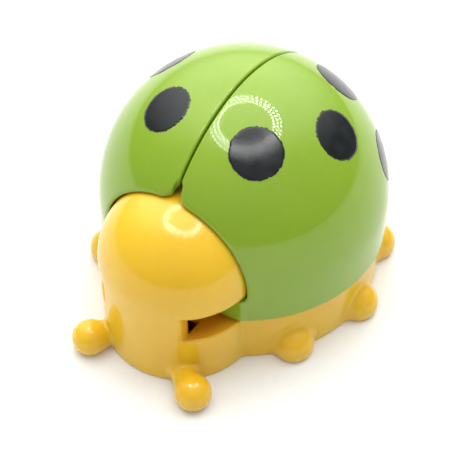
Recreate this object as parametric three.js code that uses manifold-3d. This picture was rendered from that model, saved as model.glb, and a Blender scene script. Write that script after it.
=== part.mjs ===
// A push-button ladybird: press its tail and both wing cases swing outwards about upright pins
// inside the head. Millimetres, +Z up. The origin is on the underside, on the axis of the domed
// back. Forward is -Y and the ladybird's left is +X.
import * as THREE from "three";
import { mergeVertices } from "three/addons/utils/BufferGeometryUtils.js";
import Module from "manifold-3d";

const wasm = await Module();
wasm.setup();

// Driving dimensions of the outside.
const shellRadius = 32; // the two closed wing cases together
const shellCentreZ = 20.6;
const wingWall = 1.6;
const wingBottomZ = 13.2;
const seamHalfGap = 0.25;
const archPlaneY = -25.5; // the wing cases end here above the head
const notchTipY = -23.6;
const notchHalfWidth = 2.1;
const headRadius = 17;
const headHalfWidth = 17.5; // the cap flares a little sideways
const headY = -24.5;
const headCentreZ = 21.2;
const bodyWall = 2;
const frontWallHalfWidth = 9.75; // its flat ends face sideways into the slots
const frontWallThickness = 2.5;
const baseRadius = 31;
const deckTopZ = 12.9;
const deckThickness = 1.5;
const deckUnderZ = deckTopZ - deckThickness;
const capRimZ = 20;
const clearance = 0.35; // between pieces that touch or pass each other

// The feet: a bulb with a flat sole, one pair in front of the head and three round the base.
const footRadius = 4.5;
const footCentreZ = 2.2;
const footRing = 30.3;
const footAngles = [53, 89.3, 125.3]; // from straight ahead, each with its mirror image
const frontFootRadius = 3.85;
const frontFoot = new THREE.Vector2(13.9, -41.6);

// The mechanism.
const swingDegrees = 60;
const pivot = new THREE.Vector2(5.7, -27.8); // the left one; the right one mirrors it
const pinRadius = 1;
const pinBottomZ = 5.1;
const pinTopZ = 23.5;
const pinRunning = 0.06; // radial clearance of a bore that turns on a pin
const hubRadius = 3.4;
const hubBottomZ = 13.6;
const hubTopZ = 19.6;
const spigotRadius = 2.3;
const driveHalfWidth = 1.7; // the square below the spigot, which carries the pinion
const armAngle = 8; // from +X, seen from above
const armWidth = 2.4;
const armReach = 11.2;
const gearModule = 0.7;
const gearTeeth = 10;
const gearPitchRadius = (gearModule * gearTeeth) / 2;
const pressureAngle = THREE.MathUtils.degToRad(25);
const toothAddendum = 0.8 * gearModule;
const toothDedendum = 1.05 * gearModule;
const toothBacklash = 0.16; // taken off each tooth's thickness at the pitch line
const gearBottomZ = 6.4;
const gearTopZ = 9.2;
const rackBottomZ = 6.6;
const rackTopZ = 9;
const rackOuterX = 11.5;
const rackFrontY = -29.6;
const rackBridgeY = -19.6; // clear of the pinions at full stroke
const rackBridgeDepth = 3;
const rodZ = (rackBottomZ + rackTopZ) / 2;
const rodRadius = 1.5;
const rodEndY = 24;
const springRadius = 2.6;
const springWire = 0.3;
const springTurns = 7;
const saddleY = 9; // the wall that the return spring pushes against
const saddleThickness = 1.8;
const buttonHalfWidth = 5;
const buttonLowZ = rodZ - 3.6;
const buttonHighZ = rodZ + 3.2;
const buttonStemEndY = 33;
const buttonGap = 0.4; // round the button in its window
const buttonFlangeY = 21;
const buttonFlangeThickness = 1.4;
const buttonEndY = 36.5;
const gearCoverBottomZ = 4.4;
const gearCoverTopZ = 6;
const baseCoverThickness = 2;
const screwRecessZ = 1.3; // counterbore in the base cover

// Screws: [x, y] of each set.
const baseScrews = [
  [19, -9],
  [-19, -9],
  [15, 20],
  [-15, 20],
];
const gearCoverScrews = [
  [14.4, -18.6],
  [-14.4, -18.6],
];
const abdomenScrews = [
  [12, -1],
  [-12, -1],
  [10, 16],
  [-10, 16],
];

// The inner back, under the wing cases.
const abdomenY = 3;
const abdomenRadii = [22, 22.5, 21];
const abdomenWall = 1.8;

const yellowPlastic = new THREE.MeshStandardMaterial({
  color: 0xecc943,
  roughness: 0.32,
});
const greenPlastic = new THREE.MeshStandardMaterial({
  color: 0x93bf3f,
  roughness: 0.26,
});
const redPlastic = new THREE.MeshStandardMaterial({
  color: 0x8c2a1e,
  roughness: 0.4,
});
const whitePlastic = new THREE.MeshStandardMaterial({
  color: 0xe9e7df,
  roughness: 0.4,
});
const steel = new THREE.MeshStandardMaterial({
  color: 0xb9bcc0,
  roughness: 0.3,
  metalness: 1,
});

// Closed geometry to manifold-3d solid, and back.
function solid(geometry) {
  const bare = geometry.index ? geometry.toNonIndexed() : geometry.clone();
  bare.deleteAttribute("normal");
  bare.deleteAttribute("uv");
  const merged = mergeVertices(bare, 1e-4);
  return new wasm.Manifold(
    new wasm.Mesh({
      numProp: 3,
      vertProperties: merged.attributes.position.array,
      triVerts: new Uint32Array(merged.index.array),
    }),
  );
}

function geometryOf(made) {
  const mesh = made.getMesh();
  const geometry = new THREE.BufferGeometry();
  geometry.setAttribute("position", new THREE.BufferAttribute(mesh.vertProperties, 3));
  geometry.setIndex(new THREE.BufferAttribute(mesh.triVerts, 1));
  return geometry;
}

// Upright disc or post between two heights.
function post(x, y, radius, lowZ, highZ, segments = 24) {
  const geometry = new THREE.CylinderGeometry(radius, radius, highZ - lowZ, segments);
  geometry.rotateX(Math.PI / 2);
  geometry.translate(x, y, (lowZ + highZ) / 2);
  return solid(geometry);
}

function block(lowX, lowY, lowZ, highX, highY, highZ) {
  const geometry = new THREE.BoxGeometry(highX - lowX, highY - lowY, highZ - lowZ);
  geometry.translate((lowX + highX) / 2, (lowY + highY) / 2, (lowZ + highZ) / 2);
  return solid(geometry);
}

// Upright prism on an outline of [x, y] points.
function prism(points, lowZ, highZ) {
  const shape = new THREE.Shape(points.map(([x, y]) => new THREE.Vector2(x, y)));
  const geometry = new THREE.ExtrudeGeometry(shape, {
    depth: highZ - lowZ,
    bevelEnabled: false,
  });
  geometry.translate(0, 0, lowZ);
  return solid(geometry);
}

// Half or whole ellipsoid: around segments about Z, rings from pole to pole.
function ellipsoid(x, y, z, radiusX, radiusY, radiusZ, around = 32, rings = 16) {
  const geometry = new THREE.SphereGeometry(1, around, rings);
  geometry.rotateX(Math.PI / 2);
  geometry.scale(radiusX, radiusY, radiusZ);
  geometry.translate(x, y, z);
  return solid(geometry);
}

function join(pieces) {
  return pieces.reduce((whole, piece) => whole.add(piece));
}

// Solid turned about an upright axis through [x, y].
function turned(made, x, y, degrees) {
  const geometry = geometryOf(made);
  geometry.translate(-x, -y, 0);
  geometry.rotateZ(THREE.MathUtils.degToRad(degrees));
  geometry.translate(x, y, 0);
  return solid(geometry);
}

function mirrored(made) {
  const geometry = geometryOf(made).toNonIndexed();
  geometry.scale(-1, 1, 1);
  const place = geometry.attributes.position;
  const corner = new THREE.Vector3();
  for (let i = 0; i < place.count; i += 3) {
    corner.fromBufferAttribute(place, i);
    place.setXYZ(i, place.getX(i + 1), place.getY(i + 1), place.getZ(i + 1));
    place.setXYZ(i + 1, corner.x, corner.y, corner.z);
  }
  return solid(geometry);
}

// The head's outline grown by a margin: a column below the cap rim and a dome above it.
function headBlank(grow, lowZ, around, rings) {
  const column = post(0, headY, headRadius + grow, lowZ, headCentreZ, around);
  const dome = ellipsoid(
    0,
    headY,
    headCentreZ,
    headHalfWidth + grow,
    headRadius + grow,
    headRadius + grow,
    around,
    rings,
  );
  const above = block(-40, -60, capRimZ + 0.2, 40, 20, 60);
  return column.add(dome.intersect(above));
}

// The two round outlines of the base, grown by a margin.
function baseBlank(grow, lowZ, highZ) {
  const ring = post(0, 0, baseRadius + grow, lowZ, highZ, 48);
  return ring.add(post(0, headY, headRadius + grow, lowZ, highZ, 36));
}

// A sector of the head's outline, about its own axis, between two angles from straight ahead.
function headSector(fromDegrees, toDegrees, lowZ, highZ) {
  const reach = 30;
  const points = [[0, headY]];
  const steps = 6;
  for (let i = 0; i <= steps; i += 1) {
    const angle = THREE.MathUtils.degToRad(
      fromDegrees + ((toDegrees - fromDegrees) * i) / steps,
    );
    points.push([reach * Math.sin(angle), headY - reach * Math.cos(angle)]);
  }
  return prism(points, lowZ, highZ);
}

function foot(x, y, radius, sole) {
  const bulb = ellipsoid(x, y, sole, radius, radius, radius, 16, 8);
  return bulb.intersect(block(x - 9, y - 9, 0, x + 9, y + 9, 20));
}

function makeBodyShell() {
  let body = baseBlank(0, 0, deckTopZ);
  body = body.subtract(baseBlank(-bodyWall, -1, deckUnderZ));

  // Head: the front wall and a back wall carry the cap, with a slot on each side for an arm.
  const wallBand = post(0, headY, headRadius, deckUnderZ, headCentreZ, 36)
    .subtract(post(0, headY, headRadius - bodyWall, deckUnderZ - 1, headCentreZ + 1, 36));
  const frontBand = post(0, headY, headRadius, deckUnderZ, headCentreZ, 36).subtract(
    post(0, headY, headRadius - frontWallThickness, deckUnderZ - 1, headCentreZ + 1, 36),
  );
  body = body.add(
    frontBand.intersect(
      block(-frontWallHalfWidth, -60, deckUnderZ, frontWallHalfWidth, headY, headCentreZ),
    ),
  );
  body = body.add(wallBand.intersect(headSector(125, 235, deckUnderZ, headCentreZ)));
  const cap = headBlank(0, deckTopZ, 36, 16)
    .subtract(headBlank(-bodyWall, deckTopZ - 1, 24, 12))
    .intersect(block(-40, -60, capRimZ, 40, 20, 60));
  body = body.add(cap);
  for (const side of [-1, 1]) {
    const boss = post(side * pivot.x, pivot.y, 2.4, capRimZ, 34, 16);
    body = body.add(boss.intersect(headBlank(-0.5, deckTopZ, 24, 12)));
  }

  // Feet.
  for (const degrees of footAngles) {
    const angle = THREE.MathUtils.degToRad(degrees);
    const x = footRing * Math.sin(angle);
    const y = -footRing * Math.cos(angle);
    body = body.add(foot(x, y, footRadius, footCentreZ).subtract(baseBlank(-1, -1, 20)));
    body = body.add(foot(-x, y, footRadius, footCentreZ).subtract(baseBlank(-1, -1, 20)));
  }
  for (const side of [-1, 1]) {
    const bulb = foot(side * frontFoot.x, frontFoot.y, frontFootRadius, footCentreZ);
    const neckX = side * frontFoot.x * 0.82;
    const neckY = headY + (frontFoot.y - headY) * 0.82;
    const neck = foot(neckX, neckY, frontFootRadius * 0.8, footCentreZ);
    body = body.add(bulb.add(neck).subtract(baseBlank(-1, -1, 20)));
  }

  // Screw bosses under the deck, and the saddle that holds the spring.
  for (const [x, y] of baseScrews) {
    body = body.add(post(x, y, 2.6, baseCoverThickness + clearance, deckUnderZ + 0.5, 12));
  }
  for (const [x, y] of gearCoverScrews) {
    body = body.add(post(x, y, 2, gearCoverTopZ + clearance, deckUnderZ + 0.5, 16));
  }
  body = body.add(
    block(-5, saddleY - saddleThickness, 3.6, 5, saddleY, deckUnderZ + 0.5),
  );
  const rodSlot = rodRadius + clearance;
  body = body.subtract(block(-rodSlot, saddleY - 3, 3, rodSlot, saddleY + 1, rodZ));
  const rodHole = new THREE.CylinderGeometry(rodSlot, rodSlot, 8, 20);
  rodHole.translate(0, saddleY, rodZ);
  body = body.subtract(solid(rodHole));

  // Holes: pivot spigots, pin tops, screws, the tail button and the well inside the head.
  for (const side of [-1, 1]) {
    const x = side * pivot.x;
    body = body.subtract(post(x, pivot.y, spigotRadius + clearance, deckUnderZ - 1, 13.5, 24));
    body = body.subtract(post(x, pivot.y, pinRadius + clearance, capRimZ - 1, 24, 16));
  }
  for (const [x, y] of baseScrews) body = body.subtract(post(x, y, 1.3, 1, 9.5, 12));
  for (const [x, y] of gearCoverScrews) body = body.subtract(post(x, y, 1, 5, 11, 12));
  for (const [x, y] of abdomenScrews) body = body.subtract(post(x, y, 1.3, 10, 14, 12));
  body = body.subtract(
    block(
      -buttonHalfWidth - buttonGap,
      26,
      buttonLowZ - buttonGap,
      buttonHalfWidth + buttonGap,
      34,
      buttonHighZ + buttonGap,
    ),
  );
  const wellHalfWidth = 9.6;
  return body.subtract(
    prism(
      [
        [-wellHalfWidth, -31.7],
        [-wellHalfWidth, -35.2],
        [-5.5, -37.6],
        [5.5, -37.6],
        [wellHalfWidth, -35.2],
        [wellHalfWidth, -31.7],
      ],
      deckUnderZ - 1,
      deckTopZ + 1,
    ),
  );
}

// One wing case with its arm, hub and spigot; the right one is its mirror image.
function makeLeftWing() {
  const outer = ellipsoid(0, 0, shellCentreZ, shellRadius, shellRadius, shellRadius, 48, 24)
    .intersect(block(-40, -40, shellCentreZ, 40, 40, 60))
    .add(post(0, 0, shellRadius, wingBottomZ, shellCentreZ, 48));
  const innerRadius = shellRadius - wingWall;
  const inner = ellipsoid(0, 0, shellCentreZ, innerRadius, innerRadius, innerRadius, 32, 16)
    .intersect(block(-40, -40, shellCentreZ - 0.01, 40, 40, 60))
    .add(post(0, 0, innerRadius, wingBottomZ - 1, shellCentreZ, 32));
  let wing = outer.subtract(inner);
  wing = wing.intersect(block(seamHalfGap, -40, 0, 40, 40, 60));
  wing = wing.subtract(block(-40, -40, capRimZ, 40, archPlaneY, 60));
  wing = wing.subtract(
    prism(
      [
        [-notchHalfWidth, archPlaneY - 0.5],
        [notchHalfWidth, archPlaneY - 0.5],
        [0, notchTipY],
      ],
      30,
      50,
    ),
  );

  // The arm runs through the slot to the wing's lower front corner.
  const angle = THREE.MathUtils.degToRad(armAngle);
  const arm = turned(
    block(
      pivot.x,
      pivot.y - armWidth / 2,
      hubBottomZ,
      pivot.x + armReach,
      pivot.y + armWidth / 2,
      hubTopZ,
    ),
    pivot.x,
    pivot.y,
    armAngle,
  );
  const cornerX = pivot.x + armReach * Math.cos(angle);
  const cornerY = pivot.y + armReach * Math.sin(angle);
  const corner = post(cornerX, cornerY, armWidth / 2, hubBottomZ, hubTopZ, 12);
  const web = prism(
    [
      [cornerX - 0.4, cornerY + 1],
      [cornerX + 0.9, cornerY - 0.4],
      [20.5, -24],
      [19, -22.6],
    ],
    hubBottomZ,
    hubTopZ,
  );

  // The head passes through the wing's front lip as the wing swings: cut its path away.
  const tool = headBlank(clearance, wingBottomZ - 2, 36, 16);
  const step = swingDegrees / 5;
  for (let i = 0; i <= 5; i += 1) {
    wing = wing.subtract(turned(tool, pivot.x, pivot.y, i * step));
  }
  const hub = post(pivot.x, pivot.y, hubRadius, hubBottomZ, hubTopZ, 24);
  const spigot = post(pivot.x, pivot.y, spigotRadius, gearTopZ, hubBottomZ + 1, 24);
  const drive = block(
    pivot.x - driveHalfWidth,
    pivot.y - driveHalfWidth,
    gearBottomZ + 0.2,
    pivot.x + driveHalfWidth,
    pivot.y + driveHalfWidth,
    gearTopZ + 0.1,
  );
  wing = join([wing, web, arm, corner, hub, spigot, drive]);
  return wing.subtract(post(pivot.x, pivot.y, pinRadius + pinRunning, 5, 21, 24));
}

// Half thickness of a gear tooth as an angle, at a radius.
function toothHalfAngle(radius) {
  const startRadius = gearPitchRadius * Math.cos(pressureAngle); // where the involute starts
  const involute = (angle) => Math.tan(angle) - angle;
  const local = Math.acos(Math.min(1, startRadius / Math.max(radius, startRadius)));
  const atPitch = Math.PI / (2 * gearTeeth) - toothBacklash / (2 * gearPitchRadius);
  return atPitch + involute(pressureAngle) - involute(local);
}

// A pinion whose tooth space points along +X, square inside for the wing's spigot.
function makeLeftGear() {
  const points = [];
  const rootRadius = gearPitchRadius - toothDedendum;
  const tipRadius = gearPitchRadius + toothAddendum;
  const flankRadii = [rootRadius, gearPitchRadius - 0.25, gearPitchRadius + 0.1, tipRadius];
  for (let tooth = 0; tooth < gearTeeth; tooth += 1) {
    const centre = ((tooth + 0.5) * 2 * Math.PI) / gearTeeth;
    const flank = (radius, side) => {
      const angle = centre + side * toothHalfAngle(radius);
      points.push([pivot.x + radius * Math.cos(angle), pivot.y + radius * Math.sin(angle)]);
    };
    flankRadii.forEach((radius) => flank(radius, -1));
    [...flankRadii].reverse().forEach((radius) => flank(radius, 1));
  }
  const bore = driveHalfWidth + 0.06;
  return prism(points, gearBottomZ, gearTopZ - clearance).subtract(
    block(pivot.x - bore, pivot.y - bore, 5, pivot.x + bore, pivot.y + bore, 12),
  );
}

// The fork: two toothed tines outside the pinions, a bridge behind them and a round rod.
function makeForkRack() {
  const pitchX = pivot.x + gearPitchRadius;
  const pitch = Math.PI * gearModule;
  const slope = Math.tan(pressureAngle);
  const halfAtPitch = pitch / 4 - toothBacklash / 2;
  const tipX = pitchX - toothAddendum;
  const rootX = pitchX + toothDedendum;
  const tineEndY = rackBridgeY + rackBridgeDepth / 2;
  const points = [
    [rackOuterX, rackFrontY],
    [rackOuterX, tineEndY],
    [rootX, tineEndY],
  ];
  const inner = [];
  const firstTooth = pivot.y; // a rack tooth fills the pinion's space that points along +X
  for (let tooth = 0; tooth <= 3; tooth += 1) {
    const y = firstTooth + tooth * pitch;
    const atRoot = halfAtPitch + toothDedendum * slope;
    const atTip = halfAtPitch - toothAddendum * slope;
    inner.push([rootX, y - atRoot], [tipX, y - atTip], [tipX, y + atTip], [rootX, y + atRoot]);
  }
  points.push(...inner.reverse(), [rootX, rackFrontY]);
  const tine = prism(points, rackBottomZ, rackTopZ);
  const bridge = block(
    -rackOuterX,
    rackBridgeY,
    rackBottomZ,
    rackOuterX,
    rackBridgeY + rackBridgeDepth,
    rackTopZ,
  );
  const rodStartY = rackBridgeY + rackBridgeDepth / 2;
  const rod = new THREE.CylinderGeometry(rodRadius, rodRadius, rodEndY - rodStartY, 20);
  rod.translate(0, (rodEndY + rodStartY) / 2, rodZ);
  const flatBottom = block(-3, -25, rackBottomZ, 3, rodEndY + 1, 12);
  return join([tine, mirrored(tine), bridge, solid(rod).intersect(flatBottom)]);
}

function makeTailButton() {
  const flange = new THREE.CylinderGeometry(3.5, 3.5, buttonFlangeThickness, 24);
  flange.translate(0, buttonFlangeY + buttonFlangeThickness / 2, rodZ);
  const stem = block(
    -buttonHalfWidth,
    buttonFlangeY,
    buttonLowZ,
    buttonHalfWidth,
    buttonStemEndY,
    buttonHighZ,
  );
  const pad = new THREE.SphereGeometry(1, 24, 14);
  const halfHeight = (buttonHighZ - buttonLowZ) / 2;
  pad.scale(buttonHalfWidth, buttonEndY - buttonStemEndY, halfHeight);
  pad.translate(0, buttonStemEndY, buttonLowZ + halfHeight);
  const socket = new THREE.CylinderGeometry(rodRadius + 0.3, rodRadius + 0.3, 8, 20);
  socket.translate(0, rodEndY - 3.7, rodZ);
  return join([solid(flange), stem, solid(pad)]).subtract(solid(socket));
}

// Compression spring round the rod, between the saddle and the tail button.
function makeSpring() {
  const start = saddleY + clearance + springWire;
  const end = buttonFlangeY - clearance - springWire;
  const points = [];
  const stepsPerTurn = 10;
  const steps = springTurns * stepsPerTurn;
  for (let i = 0; i <= steps; i += 1) {
    const angle = (i / stepsPerTurn) * 2 * Math.PI;
    points.push(
      new THREE.Vector3(
        springRadius * Math.cos(angle),
        start + ((end - start) * i) / steps,
        rodZ + springRadius * Math.sin(angle),
      ),
    );
  }
  const section = new THREE.Shape();
  section.absarc(0, 0, springWire, 0, 2 * Math.PI);
  return new THREE.ExtrudeGeometry(section, {
    curveSegments: 3,
    steps,
    bevelEnabled: false,
    extrudePath: new THREE.CatmullRomCurve3(points),
  });
}

function makeGearCover() {
  let plate = prism(
    [
      [-10.6, -32.6],
      [10.6, -32.6],
      [11.6, -22],
      [16.8, -21],
      [16.8, -16.2],
      [-16.8, -16.2],
      [-16.8, -21],
      [-11.6, -22],
    ],
    gearCoverBottomZ,
    gearCoverTopZ,
  );
  for (const side of [-1, 1]) {
    plate = plate.subtract(post(side * pivot.x, pivot.y, pinRadius + clearance, 4.9, 7, 16));
  }
  for (const [x, y] of gearCoverScrews) plate = plate.subtract(post(x, y, 1, 4, 7, 12));
  return plate;
}

function makeBaseCover() {
  const margin = -bodyWall - clearance;
  let plate = baseBlank(margin, 0, baseCoverThickness);
  for (const [x, y] of baseScrews) {
    plate = plate.subtract(post(x, y, 1.3, -1, 3, 12)).subtract(post(x, y, 2.4, -1, screwRecessZ, 16));
  }
  return plate;
}

function makeAbdomenCover() {
  const [radiusX, radiusY, radiusZ] = abdomenRadii;
  const above = block(-40, -40, deckTopZ + clearance, 40, 40, 60);
  const dome = ellipsoid(0, abdomenY, deckTopZ, radiusX, radiusY, radiusZ, 28, 14);
  const hollow = ellipsoid(
    0,
    abdomenY,
    deckTopZ,
    radiusX - abdomenWall,
    radiusY - abdomenWall,
    radiusZ - abdomenWall,
    20,
    10,
  );
  let cover = dome.subtract(hollow);
  for (const [x, y] of abdomenScrews) {
    cover = cover.add(post(x, y, 2.6, deckTopZ, 40, 16).intersect(dome));
  }
  cover = cover.intersect(above).subtract(headBlank(0.8, deckTopZ - 2, 28, 12));
  for (const [x, y] of abdomenScrews) cover = cover.subtract(post(x, y, 1.1, 10, 20.5, 12));
  return cover;
}

// Pan-head screw pointing up, its head's underside at seatZ.
function makeScrew([x, y], seatZ, headRadius, headHeight, shankRadius, length) {
  const crossHalf = headRadius * 0.14;
  const crossReach = headRadius * 0.55;
  const head = post(x, y, headRadius, seatZ - headHeight, seatZ, 14);
  const shank = post(x, y, shankRadius, seatZ - 0.2, seatZ + length, 8);
  const slotLow = seatZ - headHeight - 1;
  const slotHigh = seatZ - headHeight * 0.45;
  return head
    .add(shank)
    .subtract(block(x - crossHalf, y - crossReach, slotLow, x + crossHalf, y + crossReach, slotHigh))
    .subtract(block(x - crossReach, y - crossHalf, slotLow, x + crossReach, y + crossHalf, slotHigh));
}

const ladybird = new THREE.Group();

function addPiece(name, shape, material, parent = ladybird) {
  const geometry = shape.isBufferGeometry ? shape : geometryOf(shape);
  const mesh = new THREE.Mesh(geometry, material);
  mesh.name = name;
  parent.add(mesh);
}

const leftWing = makeLeftWing();
const leftGear = makeLeftGear();
addPiece("body_shell", makeBodyShell(), yellowPlastic);
addPiece("left_wing", leftWing, greenPlastic);
addPiece("right_wing", mirrored(leftWing), greenPlastic);
addPiece("left_wing_gear", leftGear, redPlastic);
addPiece("right_wing_gear", mirrored(leftGear), redPlastic);
for (const [side, x] of [["left", pivot.x], ["right", -pivot.x]]) {
  addPiece(`${side}_pivot_pin`, post(x, pivot.y, pinRadius, pinBottomZ, pinTopZ, 20), steel);
}
addPiece("fork_rack", makeForkRack(), redPlastic);
addPiece("tail_button", makeTailButton(), yellowPlastic);
addPiece("return_spring", makeSpring(), steel);
addPiece("gear_cover", makeGearCover(), whitePlastic);
addPiece("abdomen_cover", makeAbdomenCover(), yellowPlastic);
addPiece("base_cover", makeBaseCover(), yellowPlastic);
baseScrews.forEach((place, i) => {
  addPiece(`base_screw_${i + 1}`, makeScrew(place, screwRecessZ - 0.25, 2, 0.9, 1, 7.5), steel);
});
gearCoverScrews.forEach((place, i) => {
  addPiece(`gear_cover_screw_${i + 1}`, makeScrew(place, 4.1, 1.6, 0.8, 0.7, 6), steel);
});
abdomenScrews.forEach((place, i) => {
  addPiece(`abdomen_screw_${i + 1}`, makeScrew(place, 11.1, 1.8, 0.9, 0.8, 7), steel);
});

export default ladybird;
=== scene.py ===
import math

import bpy
import numpy as np
from mathutils import Matrix, Vector


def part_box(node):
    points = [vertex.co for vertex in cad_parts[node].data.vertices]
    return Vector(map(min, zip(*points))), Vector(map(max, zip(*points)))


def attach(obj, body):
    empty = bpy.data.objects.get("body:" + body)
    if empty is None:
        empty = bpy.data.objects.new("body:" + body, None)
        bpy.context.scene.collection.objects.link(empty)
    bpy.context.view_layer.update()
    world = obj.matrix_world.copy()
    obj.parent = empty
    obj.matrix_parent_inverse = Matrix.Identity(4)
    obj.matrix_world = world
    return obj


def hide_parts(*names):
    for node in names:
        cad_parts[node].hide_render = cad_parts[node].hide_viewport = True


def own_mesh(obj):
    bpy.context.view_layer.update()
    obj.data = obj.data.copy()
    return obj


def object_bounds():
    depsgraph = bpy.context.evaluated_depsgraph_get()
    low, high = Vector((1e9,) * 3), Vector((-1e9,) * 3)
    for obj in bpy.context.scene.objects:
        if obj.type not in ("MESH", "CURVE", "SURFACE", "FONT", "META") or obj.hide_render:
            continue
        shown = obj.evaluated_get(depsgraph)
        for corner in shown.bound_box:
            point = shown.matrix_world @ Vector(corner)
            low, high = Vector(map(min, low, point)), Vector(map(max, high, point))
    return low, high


# Looks for the push-button ladybird. Forward is -Y, its left is +X. Settings are in millimetres.
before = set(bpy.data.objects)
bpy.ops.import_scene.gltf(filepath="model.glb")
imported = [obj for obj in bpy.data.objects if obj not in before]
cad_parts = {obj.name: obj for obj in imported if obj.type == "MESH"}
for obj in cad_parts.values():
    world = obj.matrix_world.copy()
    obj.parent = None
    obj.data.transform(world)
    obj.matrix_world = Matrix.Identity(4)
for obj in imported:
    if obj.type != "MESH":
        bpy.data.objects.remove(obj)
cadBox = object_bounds()
mm = 0.001
margin = Vector((1, 1, 1))  # clear space round the box that each field is sampled in

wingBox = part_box("left_wing")
shellRadius = wingBox[1].y / mm  # both wing cases together make one dome
shellZ = wingBox[1].z / mm - shellRadius
pinLow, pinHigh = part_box("left_pivot_pin")
pivotX = (pinLow.x + pinHigh.x) / 2 / mm
pivotY = (pinLow.y + pinHigh.y) / 2 / mm


def centreOf(node):
    low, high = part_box(node)
    return (low + high) / 2 / mm


# Fields are signed distances in millimetres, negative inside the material.


def roundMax(a, b, radius):  # what two shapes share, with the edge between them rounded
    corner = np.hypot(np.maximum(a + radius, 0), np.maximum(b + radius, 0))
    return np.minimum(-radius, np.maximum(a, b)) + corner


def roundMin(a, b, radius):  # two shapes joined, with a fillet between them
    corner = np.hypot(np.maximum(radius - a, 0), np.maximum(radius - b, 0))
    return np.maximum(radius, np.minimum(a, b)) - corner


def smoothStep(value, low, high):
    share = np.clip((value - low) / (high - low), 0, 1)
    return share * share * (3 - 2 * share)


def ballField(x, y, z, centre, radius):
    return np.sqrt((x - centre[0]) ** 2 + (y - centre[1]) ** 2 + (z - centre[2]) ** 2) - radius


def ellipsoidField(x, y, z, centre, radii):
    q = [(v - c) / r for v, c, r in zip((x, y, z), centre, radii)]
    near = np.sqrt(sum(v * v for v in q)) + 1e-6
    steep = np.sqrt(sum((v / r) ** 2 for v, r in zip(q, radii))) + 1e-6
    return near * (near - 1) / steep


def postField(x, y, z, centre, radius, low, high, edge=0.2):
    side = np.hypot(x - centre[0], y - centre[1]) - radius
    return roundMax(side, np.abs(z - (low + high) / 2) - (high - low) / 2, edge)


def rodField(x, y, z, centre, radius, low, high, edge=0.2):  # along Y
    side = np.hypot(x - centre[0], z - centre[1]) - radius
    return roundMax(side, np.abs(y - (low + high) / 2) - (high - low) / 2, edge)


def blockField(x, y, z, low, high, edge=0.2):
    q = [np.abs(v - (a + b) / 2) - (b - a) / 2 + edge for v, a, b in zip((x, y, z), low, high)]
    outside = np.sqrt(sum(np.maximum(v, 0) ** 2 for v in q))
    return outside + np.minimum(np.maximum(np.maximum(q[0], q[1]), q[2]), 0) - edge


def meshPoints(field, low, high, cell):
    # One point in each cell that the surface crosses, then quads round each crossed edge.
    axes = [np.arange(a, b + cell, cell, dtype=np.float32) for a, b in zip(low, high)]
    value = field(*np.meshgrid(*axes, indexing="ij"))
    inside = value < 0
    shape = tuple(n - 1 for n in value.shape)
    corners = [(i, j, k) for i in (0, 1) for j in (0, 1) for k in (0, 1)]
    count = np.zeros(shape, np.int8)
    for i, j, k in corners:
        count += inside[i:i + shape[0], j:j + shape[1], k:k + shape[2]]
    active = (count > 0) & (count < 8)
    index = np.full(shape, -1, np.int64)
    index[active] = np.arange(active.sum())
    cells = np.argwhere(active)
    total = np.zeros(cells.shape)
    hits = np.zeros(len(cells))
    for corner in corners:
        for axis in range(3):
            if corner[axis]:
                continue
            step = np.eye(3, dtype=int)[axis]
            a = value[tuple((cells + corner).T)].astype(float)
            b = value[tuple((cells + corner + step).T)].astype(float)
            crossed = (a < 0) != (b < 0)
            share = np.where(crossed, a / np.where(crossed, a - b, 1), 0)
            total += (np.array(corner) + share[:, None] * step) * crossed[:, None]
            hits += crossed
    points = np.array(low) + cell * (cells + total / hits[:, None])
    faces = []
    for axis in range(3):
        second, third = (axis + 1) % 3, (axis + 2) % 3
        here = [slice(None)] * 3
        here[axis], here[second], here[third] = slice(0, -1), slice(1, -1), slice(1, -1)
        there = list(here)
        there[axis] = slice(1, None)
        ring = []
        for back2, back3 in ((1, 1), (0, 1), (0, 0), (1, 0)):
            part = [slice(None)] * 3
            part[second] = slice(1 - back2, shape[second] - back2)
            part[third] = slice(1 - back3, shape[third] - back3)
            ring.append(index[tuple(part)])
        quads = np.stack(ring, axis=-1)
        leaving = inside[tuple(here)] & ~inside[tuple(there)]
        entering = ~inside[tuple(here)] & inside[tuple(there)]
        faces += [quads[leaving], quads[entering][:, ::-1]]
    return points, np.concatenate(faces)


def slopeOf(field, points, step=0.01):
    columns = []
    for axis in range(3):
        shift = np.zeros(3)
        shift[axis] = step
        ahead, behind = field(*(points + shift).T), field(*(points - shift).T)
        columns.append((ahead - behind) / (2 * step))
    return np.stack(columns, axis=1)


def meshField(name, field, low, high, cell, mirror=False):
    points, faces = meshPoints(field, low, high, cell)
    for _ in range(5):  # settle every point on the exact surface
        slope = slopeOf(field, points)
        square = np.maximum((slope**2).sum(axis=1), 0.3)
        move = (field(*points.T) / square)[:, None] * slope
        length = np.linalg.norm(move, axis=1, keepdims=True)
        points -= move * np.minimum(1, 0.4 * cell / np.maximum(length, 1e-9))
    slope = slopeOf(field, points)
    normals = slope / np.maximum(np.linalg.norm(slope, axis=1, keepdims=True), 1e-9)
    if mirror:
        points = points * [-1, 1, 1]
        normals = normals * [-1, 1, 1]
        faces = faces[:, ::-1]
    mesh = bpy.data.meshes.new(name)
    mesh.from_pydata((points * mm).tolist(), [], faces.tolist())
    mesh.update()
    mesh.shade_smooth()
    mesh.normals_split_custom_set_from_vertices(normals.tolist())
    obj = bpy.data.objects.new(name, mesh)
    bpy.context.scene.collection.objects.link(obj)
    print("made", name, len(faces), "faces")
    return obj


def meshNode(name, field, node, cell, mirror=False):  # sampled in the CAD node's own box
    low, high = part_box(node)
    return meshField(name, field, low / mm - margin, high / mm + margin, cell, mirror)


def finishPiece(obj, body, material, nodes):
    if material is not None:
        obj.data.materials.clear()
        obj.data.materials.append(material)
    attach(obj, body)
    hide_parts(*nodes)
    return obj


# Materials, one function for each kind of finish.


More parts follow.
